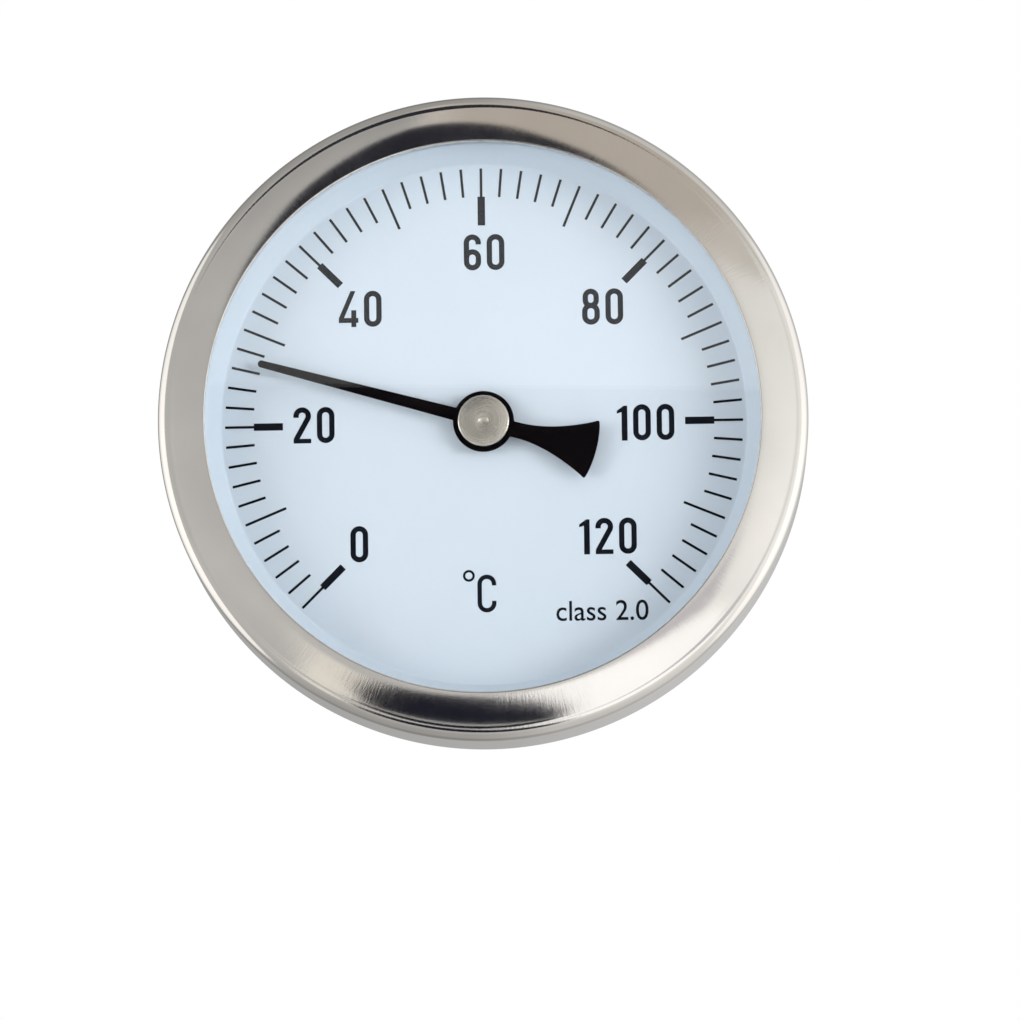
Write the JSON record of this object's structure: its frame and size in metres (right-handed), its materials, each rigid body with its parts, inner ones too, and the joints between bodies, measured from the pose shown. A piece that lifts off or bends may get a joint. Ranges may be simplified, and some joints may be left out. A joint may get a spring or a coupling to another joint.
{
  "type": "dial thermometer",
  "caption": "Round dial thermometer with a rear stem and a screw-in brass pocket, scale in degrees Celsius, bimetal coil that turns the pointer.",
  "frame": {"origin": "centre of the collar's sealing face, on the axis, where the pocket's thread begins", "axes": "+Y along the pocket, away from the dial; the dial faces -Y; +Z is twelve o'clock on the dial; +X is three o'clock"},
  "size_m": [0.063, 0.0636, 0.063],
  "materials": {
    "brass_pocket": "turned, bright",
    "spring_steel": "hard, plain",
    "black_bush": "moulded, matt",
    "stem_steel": "drawn, satin",
    "turned_brass": "turned",
    "bearing_plastic": "moulded",
    "bimetal": "rolled strip",
    "zinc_plate": "zinc plated, pressed",
    "black_rubber": "soft, matt",
    "dial_enamel": "white lacquer with black printing",
    "pointer_black": "black lacquer",
    "nickel_plate": "nickel plated, turned",
    "window_glass": "clear, flat",
    "stainless": "pressed and polished"
  },
  "bodies": {
    "pocket": {"thermowell": "brass_pocket"},
    "retainer": {"snap_ring": "spring_steel"},
    "instrument": {"neck_bush": "black_bush", "stem_tube": "stem_steel", "stem_flange": "stem_steel", "coil_anchor": "turned_brass", "tip_bearing": "bearing_plastic", "bimetal_coil": "bimetal", "front_bearing": "turned_brass", "case_back": "zinc_plate", "case_seal": "black_rubber", "dial_plate": "dial_enamel", "glass": "window_glass", "glass_gasket": "black_rubber", "bezel": "stainless"},
    "movement": {"coil_collar": "turned_brass", "pointer_shaft": "stem_steel", "thrust_collar": "turned_brass", "pointer": "pointer_black", "pointer_hub": "nickel_plate"}
  },
  "joints": [
    {"name": "stem_pull_out", "type": "slide", "parent": "pocket", "child": "retainer", "axis": [0, -1, 0], "range_m": [0, 0.048]},
    {"name": "dial_swivel", "type": "hinge", "parent": "retainer", "child": "instrument", "pos_m": [0, -0.005, 0], "axis": [0, 1, 0], "continuous": true},
    {"name": "pointer_turn", "type": "hinge", "parent": "instrument", "child": "movement", "pos_m": [0, -0.0135, 0], "axis": [0, 1, 0], "range_deg": [-60.52, 209.47], "stiffness_Nm_per_rad": 0.0002, "deforming": ["bimetal_coil"]}
  ]
}
